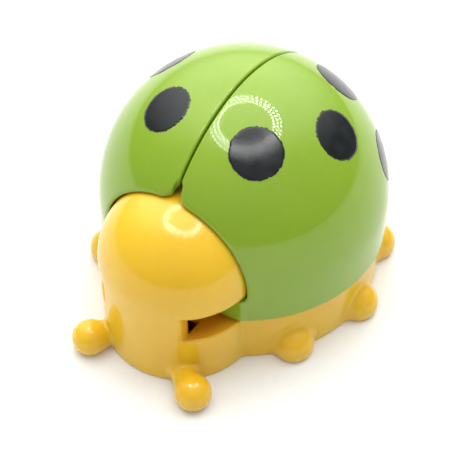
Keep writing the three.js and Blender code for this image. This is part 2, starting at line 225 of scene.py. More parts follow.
def hexToLinear(code):
    parts = [int(code[i:i + 2], 16) / 255 for i in (1, 3, 5)]
    linear = [v / 12.92 if v <= 0.04045 else ((v + 0.055) / 1.055) ** 2.4 for v in parts]
    return (*linear, 1.0)


def addNode(tree, kind, settings=None, inputs=None):
    node = tree.nodes.new(kind)
    for key, value in (settings or {}).items():
        setattr(node, key, value)
    for key, value in (inputs or {}).items():
        if isinstance(value, bpy.types.NodeSocket):
            tree.links.new(value, node.inputs[key])
        else:
            node.inputs[key].default_value = value
    return node


def mathNode(tree, operation, *values):
    inputs = dict(enumerate(values))
    return addNode(tree, "ShaderNodeMath", {"operation": operation}, inputs).outputs[0]


def vectorNode(tree, operation, *values):
    inputs = dict(enumerate(values))
    return addNode(tree, "ShaderNodeVectorMath", {"operation": operation}, inputs).outputs[0]


def startMaterial(name):
    material = bpy.data.materials.new(name)
    material.use_nodes = True
    tree = material.node_tree
    tree.nodes.clear()
    place = addNode(tree, "ShaderNodeTexCoord").outputs["Object"]
    return material, tree, place


def endMaterial(tree, shader):
    addNode(tree, "ShaderNodeOutputMaterial", inputs={"Surface": shader.outputs[0]})


def perSize(size):  # texture scale for a feature of that many millimetres
    return 1 / (size * mm)


def noiseAt(tree, place, size, detail=2.0, roughness=0.5):
    return addNode(tree, "ShaderNodeTexNoise", inputs={
        "Vector": place, "Scale": perSize(size), "Detail": detail, "Roughness": roughness,
    }).outputs["Fac"]


def mapTo(tree, value, low, high, fromLow=0.0, fromHigh=1.0):
    return addNode(tree, "ShaderNodeMapRange", inputs={
        "Value": value, "From Min": fromLow, "From Max": fromHigh, "To Min": low, "To Max": high,
    }).outputs["Result"]


def mixColours(tree, factor, first, second):
    return addNode(tree, "ShaderNodeMix", {"data_type": "RGBA"}, {
        0: factor, 6: first, 7: second,
    }).outputs[2]


def mouldedPlastic(name, settings):
    # Injection-moulded ABS from a polished tool: an even colour with faint flow clouds, a gloss
    # that handling has dulled in patches, slight orange peel and a few hair scratches.
    material, tree, place = startMaterial(name)
    clouds = noiseAt(tree, place, settings["cloudSize"], 3.0)
    colour = mixColours(
        tree, mapTo(tree, clouds, 0.0, 1.0, 0.35, 0.65),
        hexToLinear(settings["colour"]), hexToLinear(settings["cloudColour"]))
    specks = noiseAt(tree, place, settings["speckSize"], 1.0)
    colour = mixColours(
        tree, mapTo(tree, specks, 0.0, settings["speckStrength"], 0.62, 0.75),
        colour, hexToLinear(settings["speckColour"]))
    handled = noiseAt(tree, place, settings["handledSize"], 4.0, 0.6)
    gloss = mapTo(tree, handled, settings["gloss"][0], settings["gloss"][1], 0.4, 0.68)
    stretched = addNode(tree, "ShaderNodeMapping", inputs={
        "Vector": place, "Rotation": (0.5, 0.3, 0.8), "Scale": (1.0, 0.03, 1.0),
    }).outputs[0]
    scratches = noiseAt(tree, stretched, settings["scratchSize"], 0.0)
    scratches = mapTo(tree, scratches, 0.0, 1.0, 0.71, 0.75)
    upright = addNode(tree, "ShaderNodeMapping", inputs={
        "Vector": place, "Scale": (1.0, 1.0, 0.02)}).outputs[0]
    drag = noiseAt(tree, upright, settings["dragSize"], 2.0)  # faint marks of leaving the mould
    colour = mixColours(
        tree, mapTo(tree, drag, 0.0, settings["dragStrength"], 0.5, 0.62),
        colour, hexToLinear(settings["speckColour"]))
    if "paintedSlotLightColour" in settings:  # painted light: inside the head, below its rim, the colour turns orange, standing in for light bounced through the yellow plastic into the slots
        across = addNode(tree, "ShaderNodeMapping", inputs={
            "Vector": place, "Location": (0, -settings["slotY"] * mm, 0), "Scale": (1, 1, 0)})
        across = addNode(tree, "ShaderNodeVectorMath", {"operation": "LENGTH"}, {
            0: across.outputs[0]}).outputs["Value"]
        reach = [radius * mm for radius in settings["slotReach"]]
        level = addNode(tree, "ShaderNodeSeparateXYZ", inputs={0: place}).outputs["Z"]
        under = [height * mm for height in settings["slotTop"]]
        # painted bounce light: strongest inside the head column and below the rim, fading out at
        # the column's outside and above the rim
        paintedSlotLight = mathNode(tree, "MULTIPLY", mapTo(tree, across, 1.0, 0.0, *reach),
                        mapTo(tree, level, 1.0, 0.0, *under))
        colour = mixColours(tree, paintedSlotLight, colour, hexToLinear(settings["paintedSlotLightColour"]))
    peel = noiseAt(tree, place, settings["peelSize"], 1.0)
    peel = mathNode(tree, "MULTIPLY_ADD", drag, settings["dragStrength"], peel)
    height = mathNode(tree, "MULTIPLY_ADD", scratches, -0.25, peel)
    bump = addNode(tree, "ShaderNodeBump", inputs={
        "Strength": settings["peelStrength"], "Distance": 0.02 * mm, "Height": height})
    shader = addNode(tree, "ShaderNodeBsdfPrincipled", inputs={
        "Base Color": colour, "Roughness": gloss, "IOR": 1.53, "Normal": bump.outputs[0],
        "Subsurface Weight": settings["glow"], "Subsurface Radius": settings["glowRadius"],
        "Subsurface Scale": settings["glowDepth"] * mm,
        "Specular IOR Level": settings["shine"],
    })
    endMaterial(tree, shader)
    return material


yellowAbs = mouldedPlastic("moulded glossy yellow ABS", {
    "colour": "#EBC12B", "cloudColour": "#E7BA27", "cloudSize": 16,
    "speckColour": "#F2CF60", "speckSize": 0.5, "speckStrength": 0.15,
    "handledSize": 9, "gloss": (0.12, 0.19), "scratchSize": 0.16,
    "dragSize": 1.1, "dragStrength": 0.05, "peelSize": 1.5, "peelStrength": 0.25, "shine": 0.5,
    "glow": 0.5, "glowRadius": (1.0, 0.42, 0.06), "glowDepth": 1.8,
    # painted light: an orange glow painted inside the head's slots, standing in for light bounced
    # through the plastic
    "paintedSlotLightColour": "#FF9A12", "slotY": -24.5, "slotReach": (13.6, 17.0), "slotTop": (20.0, 20.6),
})
greenAbs = mouldedPlastic("moulded glossy green ABS", {
    "colour": "#8AAB2A", "cloudColour": "#84A628", "cloudSize": 20,
    "speckColour": "#A0C055", "speckSize": 0.5, "speckStrength": 0.12,
    "handledSize": 11, "gloss": (0.05, 0.1), "scratchSize": 0.16,
    "dragSize": 1.5, "dragStrength": 0.04, "peelSize": 1.8, "peelStrength": 0.2, "shine": 0.5,
    "glow": 0.18, "glowRadius": (0.6, 1.0, 0.2), "glowDepth": 1.2,
})


def printedInk(name):
    # Pad-printed black ink: a thin, slightly uneven film with a satin gloss and pinholes.
    material, tree, place = startMaterial(name)
    film = noiseAt(tree, place, 2.2, 4.0, 0.6)
    colour = mixColours(
        tree, mapTo(tree, film, 0.0, 1.0, 0.35, 0.65),
        hexToLinear("#090A0B"), hexToLinear("#101A1C"))
    grain = noiseAt(tree, place, 0.35, 2.0)
    bump = addNode(tree, "ShaderNodeBump", inputs={
        "Strength": 0.3, "Distance": 0.01 * mm, "Height": grain})
    shader = addNode(tree, "ShaderNodeBsdfPrincipled", inputs={
        "Base Color": colour, "Roughness": mapTo(tree, film, 0.15, 0.24, 0.35, 0.65),
        "IOR": 1.5, "Normal": bump.outputs[0],
    })
    endMaterial(tree, shader)
    return material


def mouldedAcetal(name, light, dark, glow):
    # Acetal: slightly waxy and translucent, with a soft satin surface.
    material, tree, place = startMaterial(name)
    clouds = noiseAt(tree, place, 4, 2.0)
    colour = mixColours(tree, clouds, hexToLinear(light), hexToLinear(dark))
    peel = noiseAt(tree, place, 0.5, 2.0)
    bump = addNode(tree, "ShaderNodeBump", inputs={
        "Strength": 0.3, "Distance": 0.01 * mm, "Height": peel})
    shader = addNode(tree, "ShaderNodeBsdfPrincipled", inputs={
        "Base Color": colour, "Roughness": mapTo(tree, clouds, 0.35, 0.5), "IOR": 1.48,
        "Subsurface Weight": glow, "Subsurface Radius": (1.0, 0.9, 0.8),
        "Subsurface Scale": 1.0 * mm, "Normal": bump.outputs[0],
    })
    endMaterial(tree, shader)
    return material


def platedSteel(name, colour, roughness):
    # Zinc-plated steel wire and screws: bright, faintly drawn along the length, with dull spots.
    material, tree, place = startMaterial(name)
    spots = noiseAt(tree, place, 0.6, 4.0, 0.65)
    tint = mixColours(tree, spots, hexToLinear(colour), hexToLinear("#8E9296"))
    drawn = addNode(tree, "ShaderNodeMapping", inputs={
        "Vector": place, "Scale": (1.0, 1.0, 0.05)}).outputs[0]
    lines = noiseAt(tree, drawn, 0.12, 1.0)
    bump = addNode(tree, "ShaderNodeBump", inputs={
        "Strength": 0.25, "Distance": 0.01 * mm, "Height": lines})
    shader = addNode(tree, "ShaderNodeBsdfPrincipled", inputs={
        "Base Color": tint, "Metallic": 1.0,
        "Roughness": mapTo(tree, spots, roughness, roughness + 0.18),
        "Normal": bump.outputs[0],
    })
    endMaterial(tree, shader)
    return material


spotInk = printedInk("pad-printed black ink")
whiteAcetal = mouldedAcetal("natural white acetal", "#EFEDE4", "#E2DFD2", 0.4)
redAcetal = mouldedAcetal("dark red acetal", "#8E2A1E", "#7A2118", 0.15)
zincSteel = platedSteel("zinc-plated steel", "#C9CCCF", 0.22)
springSteel = platedSteel("drawn spring steel", "#B4B6B8", 0.3)
print("materials ready")

# The yellow body: base ring, deck, head and feet in one moulding.

bodySettings = {
    "ringRadius": 31.0, "headRadius": 17.0, "headY": -24.5, "headZ": 21.2,
    "flare": 0.5, "flareHeight": 3.0,
    "wall": 2.0, "frontWall": 2.5, "deckTop": 12.9, "deckUnder": 11.4,
    "edge": 0.45, "crease": 0.7, "soleEdge": 0.35, "innerEdge": 0.3, "fineEdge": 0.2,
    "rimFront": 20.0, "rimRear": 20.3, "rimTurn": (35.0, 95.0),  # degrees from straight ahead
    "slotFrontX": 9.75, "slotRear": 125.0, "slotEdge": 0.4,
    "footAngles": (54.2, 89.6, 125.3), "footRing": 30.6, "footZ": 2.3, "footRadius": 4.6,
    "footBlend": 1.4,
    "frontFeet": ((-12.1, -41.8), (14.8, -41.5)), "frontZ": 3.0, "frontRadius": 3.95,
    "frontNeck": (9.2, -37.8), "neckZ": 2.8, "neckRadius": 2.8, "neckBlend": 1.0,
    "pinBossRadius": 2.4, "pinBossTop": 40.0, "pinBossSkin": 0.5,
    "spigotHole": (2.65, 10.0, 14.0), "pinHole": (1.35, 18.0, 24.0),  # radius, low, high
    "wellHalfWidth": 9.6, "wellRearY": -31.7, "wellDepth": 3.0, "wellGap": 0.1, "wellEdge": 0.25,
    "bossOverlap": 0.5, "boreStart": 2.0, "boreDepth": 7.0, "boreEdge": 0.15,
    "saddleHalfWidth": 5.0, "saddleLow": 3.6, "saddleHigh": 12.0, "saddleThickness": 1.8,
    "saddleGap": 0.3, "rodHole": 1.85, "rodHoleEndY": 20.0,
    "windowGap": 0.4, "windowY": (26.0, 34.0), "windowEdge": 0.8, "cell": 0.55,
}
# Each screw's node, its boss's radius, its bore's radius and the height of the boss's foot.
screwBosses = [(f"base_screw_{i}", 2.6, 1.25, 2.35) for i in (1, 2, 3, 4)]
screwBosses += [(f"gear_cover_screw_{i}", 2.0, 0.9, 6.35) for i in (1, 2)]


def headField(x, y, z):  # the head's outside: a column under a dome that flares a little sideways
    s = bodySettings
    flare = s["flare"] * smoothStep(z, s["rimFront"] - s["flareHeight"], s["headZ"])
    across = x * s["headRadius"] / (s["headRadius"] + flare)
    up = np.maximum(z - s["headZ"], 0)
    return np.sqrt(across**2 + (y - s["headY"]) ** 2 + up**2) - s["headRadius"]


def frontFootField(x, y, z):  # two bulbs on short necks
    s = bodySettings
    feet = []
    for place in s["frontFeet"]:
        front = np.array(place)
        start = np.array(s["frontNeck"]) * (np.sign(place[0]), 1)
        along = front - start
        share = ((x - start[0]) * along[0] + (y - start[1]) * along[1]) / (along @ along)
        share = np.clip(share, 0, 1)
        neck = ballField(
            x - share * along[0], y - share * along[1], z,
            (*start, s["neckZ"]), s["neckRadius"])
        bulb = ballField(x, y, z, (*front, s["frontZ"]), s["frontRadius"])
        feet.append(roundMin(bulb, neck, s["neckBlend"]))
    return np.minimum(*feet)


def sideFootField(x, y, z):  # three bulbs on each side
    s = bodySettings
    feet = []
    for degrees in s["footAngles"]:
        angle = math.radians(degrees)
        centre = (s["footRing"] * math.sin(angle), -s["footRing"] * math.cos(angle), s["footZ"])
        feet.append(ballField(np.abs(x), y, z, centre, s["footRadius"]))
    return np.minimum.reduce(feet)


def bodyField(x, y, z):
    s = bodySettings
    side = np.abs(x)
    head = headField(x, y, z)
    ring = np.hypot(x, y) - s["ringRadius"]
    column = np.hypot(x, y - s["headY"]) - s["headRadius"]
    base = roundMin(ring, head, s["crease"])
    base = roundMax(base, z - s["deckTop"], s["edge"])
    base = roundMin(base, frontFootField(x, y, z), s["neckBlend"])
    base = roundMin(base, sideFootField(x, y, z), s["footBlend"])
    base = roundMax(base, -z, s["soleEdge"])
    inner = np.minimum(ring, column) + s["wall"]
    base = roundMax(base, -np.maximum(inner, z - s["deckUnder"]), s["innerEdge"])

    # The head's wall and cap, with a slot on each side between the front and the back wall.
    cap = roundMax(head, -(head + s["wall"]), s["fineEdge"])
    front = roundMax(column, -(column + s["frontWall"]), s["fineEdge"])
    front = np.maximum(front, np.maximum(z - s["headZ"], y - s["headY"]))
    cap = np.minimum(cap, front)
    rear = math.radians(180 - s["slotRear"])
    beforeRear = side * math.cos(rear) + (s["headY"] - y) * math.sin(rear)
    turn = np.degrees(np.arctan2(side, s["headY"] - y))
    rim = s["rimFront"] + (s["rimRear"] - s["rimFront"]) * smoothStep(turn, *s["rimTurn"])
    slot = roundMax(np.maximum(z - rim, s["deckTop"] - z), s["slotFrontX"] - side, s["slotEdge"])
    slot = roundMax(slot, -beforeRear, s["slotEdge"])
    cap = roundMax(cap, -slot, s["edge"])
    cap = np.maximum(cap, s["deckUnder"] - z)
    body = np.minimum(base, cap)

    # Bosses in the cap for the pins' tops, holes for the wings' spigots and the well between.
    pivot = (pivotX, pivotY)
    boss = postField(side, y, z, pivot, s["pinBossRadius"], s["rimFront"], s["pinBossTop"])
    body = np.minimum(body, np.maximum(boss, head + s["pinBossSkin"]))
    for radius, low, high in (s["spigotHole"], s["pinHole"]):
        body = roundMax(body, -postField(side, y, z, pivot, radius, low, high), s["fineEdge"])
    well = np.maximum(side - s["wellHalfWidth"], y - s["wellRearY"])
    well = np.maximum(well, column + s["frontWall"] + s["wellGap"])
    well = np.maximum(well, np.abs(z - s["deckTop"]) - s["wellDepth"])
    body = roundMax(body, -well, s["wellEdge"])

    # Screw bosses under the deck, the spring's saddle and the hole for the tail button.
    for node, radius, bore, low in screwBosses:
        place = centreOf(node)
        post = postField(x, y, z, place, radius, low, s["deckUnder"] + s["bossOverlap"])
        body = np.minimum(body, post)
        hole = postField(x, y, z, place, bore, low - s["boreStart"], low + s["boreDepth"])
        body = roundMax(body, -hole, s["boreEdge"])
    rodZ = centreOf("fork_rack").z
    half, hole, end = s["saddleHalfWidth"], s["rodHole"], s["rodHoleEndY"]
    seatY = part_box("return_spring")[0].y / mm - s["saddleGap"]
    saddle = blockField(
        x, y, z, (-half, seatY - s["saddleThickness"], s["saddleLow"]),
        (half, seatY, s["saddleHigh"]))
    saddle = roundMax(saddle, -rodField(x, y, z, (0, rodZ), hole, 0, end), s["fineEdge"])
    saddle = roundMax(
        saddle, -blockField(x, y, z, (-hole, 0, 0), (hole, end, rodZ)), s["fineEdge"])
    body = np.minimum(body, saddle)
    low, high = (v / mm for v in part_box("tail_button"))
    gap, (near, far) = s["windowGap"], s["windowY"]
    window = blockField(
        x, y, z, (low.x - gap, near, low.z - gap), (high.x + gap, far, high.z + gap),
        s["windowEdge"])
    return roundMax(body, -window, s["innerEdge"])


def makeBody():
    body = meshNode("bodyShell", bodyField, "body_shell", bodySettings["cell"])
    finishPiece(body, "body", yellowAbs, ["body_shell"])


# The wing cases, mirror images of each other.

wingSettings = {
    "wall": 1.6, "bottom": 13.2, "bottomEdge": 0.4, "seamHalfGap": 0.22,
    "archY": -26.2, "archStep": 3.3, "archStepZ": (19.4, 20.0),
    "archLean": 0.45, "archLeanZ": (20.0, 24.0), "edgeRadius": 0.45, "cornerRadius": 3.2,
    "notchTipY": -23.3, "notchRadius": 0.95, "notchLow": 34.0, "innerEdge": 0.25,
    "ejectorMarks": ((13.0, -9.0), (21.0, 5.0), (11.0, 17.0), (25.0, -8.0)),
    "markRadius": 1.6, "markRise": 0.15, "markRoot": 0.5, "markAbove": 3.0,
    "swing": 60.0, "swingSteps": 5, "lipGap": 0.35, "lipEdge": 0.2,
    "armAngle": 8.0, "armWidth": 2.4, "armReach": 11.2, "armLow": 13.6, "armHigh": 19.6,
    "armEdge": 0.3, "webEnd": (19.3, -23.6), "webRadius": 1.05,
    "hubRadius": 3.4, "hubEdge": 0.4, "hubBlend": 0.6,
    "spigotRadius": 2.3, "spigotGap": 0.3, "spigotOverlap": 1.0,
    "squareHalf": 1.7, "squareInset": 0.2, "squareOverlap": 1.0,
    "boreRadius": 1.06, "boreTop": 24.0, "boreEdge": 0.15, "cell": 0.42,
}


def shellField(x, y, z, radius):  # a ball above its centre and an upright wall below it
    return np.sqrt(x * x + y * y + np.maximum(z - shellZ, 0) ** 2) - radius


def wingField(x, y, z):
    s = wingSettings
    outer = shellField(x, y, z, shellRadius)
    wing = roundMax(outer, s["bottom"] - z, s["bottomEdge"])

    # The straight cut above the head reaches a little further forward below the cap's rim.
    # Its face leans back over the head, so that only its outer edge is seen from above.
    cutY = s["archY"] - s["archStep"] * (1 - smoothStep(z, *s["archStepZ"]))
    leaning = s["archLean"] * np.clip(-outer, 0, s["wall"])
    cutY = cutY + leaning * smoothStep(z, *s["archLeanZ"])
    edges = roundMax(s["seamHalfGap"] - x, cutY - y, s["cornerRadius"])
    wing = roundMax(wing, edges, s["edgeRadius"])
    notchEnd = s["notchTipY"] - s["notchRadius"]
    notch = np.hypot(x, np.maximum(y - notchEnd, 0)) - s["notchRadius"]
    wing = roundMax(wing, -np.maximum(notch, s["notchLow"] - z), s["innerEdge"])
    inner = shellField(x, y, z, shellRadius - s["wall"])
    wing = roundMax(wing, -inner, s["innerEdge"])
    for place in s["ejectorMarks"]:
        mark = np.hypot(x - place[0], y - place[1]) - s["markRadius"]
        mark = np.maximum(np.maximum(mark, -inner - s["markRise"]), inner - s["markRoot"])
        wing = np.minimum(wing, np.maximum(mark, s["bottom"] + s["markAbove"] - z))

    # The head passes under the front lip as the wing swings.
    passed = headField(x, y, z)
    for degrees in np.linspace(0, s["swing"], s["swingSteps"] + 1)[1:]:
        angle = math.radians(degrees)
        dx, dy = x - pivotX, y - pivotY
        backX = pivotX + dx * math.cos(angle) + dy * math.sin(angle)
        backY = pivotY - dx * math.sin(angle) + dy * math.cos(angle)
        passed = np.minimum(passed, headField(backX, backY, z))
    wing = roundMax(wing, s["lipGap"] - passed, s["lipEdge"])

    # Arm, hub, spigot and the square that drives the pinion.
    pivot = (pivotX, pivotY)
    angle = math.radians(s["armAngle"])
    along = (x - pivotX) * math.cos(angle) + (y - pivotY) * math.sin(angle)
    across = (y - pivotY) * math.cos(angle) - (x - pivotX) * math.sin(angle)
    levels = np.abs(z - (s["armLow"] + s["armHigh"]) / 2) - (s["armHigh"] - s["armLow"]) / 2
    share = np.clip(along, 0, s["armReach"])
    arm = roundMax(np.hypot(along - share, across) - s["armWidth"] / 2, levels, s["armEdge"])
    cornerX = pivotX + s["armReach"] * math.cos(angle)
    cornerY = pivotY + s["armReach"] * math.sin(angle)
    webX, webY = s["webEnd"][0] - cornerX, s["webEnd"][1] - cornerY
    share = ((x - cornerX) * webX + (y - cornerY) * webY) / (webX**2 + webY**2)
    share = np.clip(share, 0, 1)
    web = np.hypot(x - cornerX - share * webX, y - cornerY - share * webY) - s["webRadius"]
    arm = roundMin(arm, roundMax(web, levels, s["armEdge"]), s["armEdge"])
    hub = postField(x, y, z, pivot, s["hubRadius"], s["armLow"], s["armHigh"], s["hubEdge"])
    arm = roundMin(arm, hub, s["hubBlend"])
    gearLow, gearHigh = (v.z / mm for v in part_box("left_wing_gear"))
    spigot = postField(
        x, y, z, pivot, s["spigotRadius"], gearHigh + s["spigotGap"],
        s["armLow"] + s["spigotOverlap"])
    half = s["squareHalf"]
    square = blockField(
        x, y, z, (pivotX - half, pivotY - half, gearLow + s["squareInset"]),
        (pivotX + half, pivotY + half, gearHigh + s["squareOverlap"]), s["innerEdge"])
    wing = np.minimum(np.minimum(wing, arm), np.minimum(spigot, square))
    bore = np.hypot(x - pivotX, y - pivotY) - s["boreRadius"]
    return roundMax(wing, -np.maximum(bore, z - s["boreTop"]), s["boreEdge"])


def makeWings():
    for side, mirror in (("left", False), ("right", True)):
        wing = meshNode(f"{side}WingCase", wingField, "left_wing", wingSettings["cell"], mirror)
        finishPiece(wing, f"{side}_wing_case", greenAbs, [f"{side}_wing"])


# Helpers that every Geometry Nodes tree uses.


def startTree(name, sockets):
    tree = bpy.data.node_groups.new(name, "GeometryNodeTree")
    tree.interface.new_socket("Geometry", in_out="INPUT", socket_type="NodeSocketGeometry")
    for label, kind, value in sockets:
        item = tree.interface.new_socket(label, in_out="INPUT", socket_type="NodeSocket" + kind)
        if value is not None:
            item.default_value = value
    tree.interface.new_socket("Geometry", in_out="OUTPUT", socket_type="NodeSocketGeometry")
    return tree, addNode(tree, "NodeGroupInput").outputs


def endTree(tree, geometry, material):
    solid = addNode(tree, "GeometryNodeRealizeInstances", inputs={0: geometry}).outputs[0]
    painted = addNode(tree, "GeometryNodeSetMaterial", inputs={0: solid, "Material": material})
    addNode(tree, "NodeGroupOutput", inputs={0: painted.outputs[0]})


def pointsObject(name, places):
    mesh = bpy.data.meshes.new(name)
    mesh.from_pydata([tuple(v * mm for v in place) for place in places], [], [])
    obj = bpy.data.objects.new(name, mesh)
    bpy.context.scene.collection.objects.link(obj)
    return obj


def runTree(obj, tree, values):
    modifier = obj.modifiers.new("build", "NODES")
    modifier.node_group = tree
    for item in tree.interface.items_tree:
        if item.item_type == "SOCKET" and item.in_out == "INPUT" and item.name in values:
            modifier[item.identifier] = values[item.name]
    evaluated = obj.evaluated_get(bpy.context.evaluated_depsgraph_get())
    mesh = bpy.data.meshes.new_from_object(evaluated)
    obj.modifiers.remove(modifier)
    obj.data = mesh
    print("grew", obj.name, len(mesh.polygons), "faces")
    return obj


# Spots printed on the wing cases.

spotSettings = {
    "radius": 5.7, "lift": 0.03, "ragged": 1.1, "wanderSize": 0.6, "rimPower": 12.0, "seed": 4,
    # Each place is the degrees round from straight ahead, then the degrees above level.
    "left": ((41.0, 57.6), (99.3, 49.4), (148.5, 46.5), (123.5, 19.0)),
    "right": ((42.5, 58.4), (100.5, 46.5), (152.0, 42.5), (125.0, 19.0)),
}


def spotTree():
    tree, given = startTree("printed spots on a dome", [
        ("Radius", "Float", 0.006), ("Lift", "Float", 0.00003), ("Ragged", "Float", 0.0003),
        ("Seed", "Int", 1), ("Dome Centre", "Vector", None), ("Dome Radius", "Float", 0.032),
        ("Material", "Material", None),
    ])
    disc = addNode(tree, "GeometryNodeMeshCone", {"fill_type": "NONE"}, {
        "Vertices": 360, "Side Segments": 12, "Radius Top": 0.0,
        "Radius Bottom": given["Radius"], "Depth": 0.0}).outputs["Mesh"]
    position = addNode(tree, "GeometryNodeInputPosition").outputs[0]
    reach = addNode(tree, "ShaderNodeVectorMath", {"operation": "LENGTH"}, {0: position})
    share = addNode(tree, "ShaderNodeMath", {"operation": "DIVIDE"}, {
        0: reach.outputs["Value"], 1: given["Radius"]}).outputs[0]
    onPoints = {"data_type": "FLOAT", "domain": "POINT"}
    disc = addNode(tree, "GeometryNodeStoreNamedAttribute", onPoints, {
        "Geometry": disc, "Name": "share", "Value": share}).outputs[0]
    outward = vectorNode(tree, "SUBTRACT", position, given["Dome Centre"])
    turn = addNode(tree, "FunctionNodeAlignRotationToVector", {"axis": "Z"}, {
        "Vector": outward}).outputs[0]
    patches = addNode(tree, "GeometryNodeInstanceOnPoints", inputs={
        "Points": given["Geometry"], "Instance": disc, "Rotation": turn}).outputs[0]
    patches = addNode(tree, "GeometryNodeRealizeInstances", inputs={0: patches}).outputs[0]

    # Only the rim wanders: the print's edge is slightly uneven.
    wander = addNode(tree, "ShaderNodeTexNoise", {"noise_dimensions": "4D"}, {
        "Vector": position, "W": given["Seed"], "Scale": perSize(spotSettings["wanderSize"]),
        "Detail": 2.0, "Roughness": 0.6}).outputs["Color"]
    wander = vectorNode(tree, "SUBTRACT", wander, (0.5, 0.5, 0.5))
    rim = addNode(tree, "GeometryNodeInputNamedAttribute", {"data_type": "FLOAT"}, {
        "Name": "share"})
    rim = mathNode(tree, "POWER", rim.outputs[0], spotSettings["rimPower"])
    rim = mathNode(tree, "MULTIPLY", rim, given["Ragged"])
    wander = addNode(tree, "ShaderNodeVectorMath", {"operation": "SCALE"}, {
        0: wander, "Scale": rim}).outputs[0]
    moved = vectorNode(tree, "ADD", outward, wander)
    unit = vectorNode(tree, "NORMALIZE", moved)
    under = mathNode(tree, "SUBTRACT", given["Dome Radius"], given["Lift"])
    onDome = addNode(tree, "ShaderNodeVectorMath", {"operation": "SCALE"}, {
        0: unit, "Scale": under}).outputs[0]
    onDome = vectorNode(tree, "ADD", onDome, given["Dome Centre"])
    film = addNode(tree, "GeometryNodeSetPosition", inputs={
        "Geometry": patches, "Position": onDome}).outputs[0]
    twice = mathNode(tree, "MULTIPLY", given["Lift"], 2.0)
    raised = addNode(tree, "GeometryNodeExtrudeMesh", {"mode": "FACES"}, {
        "Mesh": film, "Offset Scale": twice, "Individual": False}).outputs["Mesh"]
    back = addNode(tree, "GeometryNodeFlipFaces", inputs={"Mesh": film}).outputs[0]
    whole = addNode(tree, "GeometryNodeJoinGeometry")
    tree.links.new(raised, whole.inputs[0])
    tree.links.new(back, whole.inputs[0])
    closed = addNode(tree, "GeometryNodeMergeByDistance", inputs={
        "Geometry": whole.outputs[0], "Distance": 0.002 * mm}).outputs[0]
    smooth = addNode(tree, "GeometryNodeSetShadeSmooth", inputs={"Geometry": closed}).outputs[0]
    endTree(tree, smooth, given["Material"])
    return tree


def makeSpots():
    s = spotSettings
    tree = spotTree()
    for side, sign in (("left", 1), ("right", -1)):
        places = []
        for ahead, level in s[side]:
            a, e = math.radians(ahead), math.radians(level)
            places.append((
                sign * shellRadius * math.sin(a) * math.cos(e),
                -shellRadius * math.cos(a) * math.cos(e),
                shellZ + shellRadius * math.sin(e)))
        spots = runTree(pointsObject(f"{side}WingSpots", places), tree, {
            "Radius": s["radius"] * mm, "Lift": s["lift"] * mm, "Ragged": s["ragged"] * mm,
            "Seed": s["seed"] + sign, "Dome Centre": (0.0, 0.0, shellZ * mm),
            "Dome Radius": shellRadius * mm, "Material": spotInk})
        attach(spots, f"{side}_wing_case")


# What shows when the wings are open, and the underside.

backSettings = {
    "centreY": 3.0, "radii": (22.0, 22.5, 21.0), "wall": 1.8, "low": 13.25, "edge": 0.3,
    "segmentRows": (3.5, 10.0, 16.5), "segmentBend": 0.008, "segmentLift": 0.1,
    "segmentRadius": 0.5, "segmentEdge": 0.25,
    "postRadius": 2.6, "postTop": 40.0, "screwHole": (1.0, 8.0, 20.5),  # radius, low, high
    "headGap": 0.8, "rimEdge": 0.4, "cell": 0.55,
}


def backField(x, y, z):  # the inner back under the wing cases
    s = backSettings
    dome = ellipsoidField(x, y, z, (0, s["centreY"], bodySettings["deckTop"]), s["radii"])
    cover = roundMax(dome, -(dome + s["wall"]), s["edge"])
    for row in s["segmentRows"]:  # shallow lines across, like the segments of an abdomen
        line = np.hypot(y - row + s["segmentBend"] * x * x, dome - s["segmentLift"])
        cover = roundMax(cover, s["segmentRadius"] - line, s["segmentEdge"])
    for i in (1, 2, 3, 4):
        place = centreOf(f"abdomen_screw_{i}")
        post = postField(x, y, z, place, s["postRadius"], s["low"] - 1, s["postTop"])
        cover = np.minimum(cover, np.maximum(post, dome + s["edge"]))
        cover = roundMax(cover, -postField(x, y, z, place, *s["screwHole"]), 0.2)
    cover = roundMax(cover, s["headGap"] - headField(x, y, z), s["rimEdge"])
    return roundMax(cover, s["low"] - z, s["rimEdge"])


underSettings = {
    "gap": 2.35, "thickness": 2.0, "edge": 0.25, "fineEdge": 0.15,
    "recess": (2.4, -1.0, 1.3), "screwHole": (1.3, -1.0, 4.0),  # radius, low, high
    "ejectorMark": (2.2, -1.0, 0.15), "markEdge": 0.05,
    "markPlaces": ((0, -32), (9, -18), (-9, -18), (0, 24), (22, 8), (-22, 8)), "cell": 0.4,
}


def underField(x, y, z):  # the flat base cover with its screw recesses and ejector marks
    s, b = underSettings, bodySettings
    outline = np.minimum(
        np.hypot(x, y) - b["ringRadius"],
        np.hypot(x, y - b["headY"]) - b["headRadius"]) + s["gap"]
    half = s["thickness"] / 2
    plate = roundMax(outline, np.abs(z - half) - half, s["edge"])
    for i in (1, 2, 3, 4):
        place = centreOf(f"base_screw_{i}")
        for hole in (s["recess"], s["screwHole"]):
            plate = roundMax(plate, -postField(x, y, z, place, *hole), s["fineEdge"])
    for place in s["markPlaces"]:
        mark = postField(x, y, z, place, *s["ejectorMark"], s["markEdge"])
        plate = roundMax(plate, -mark, s["markEdge"])
    return plate


buttonSettings = {
    "flangeRadius": 3.5, "flangeThickness": 1.4, "stemEdge": 0.7, "stemPast": 1.5,
    "padInset": 2.0, "padSide": 4.0, "padRise": 2.2, "padBlend": 0.8,
    "socketRadius": 1.8, "socketStart": 1.0, "socketDepth": 7.0, "socketEdge": 0.2,
    "gripRows": (-1.6, 0.0, 1.6), "gripRadius": 0.45, "gripPast": 0.15, "cell": 0.22,
}


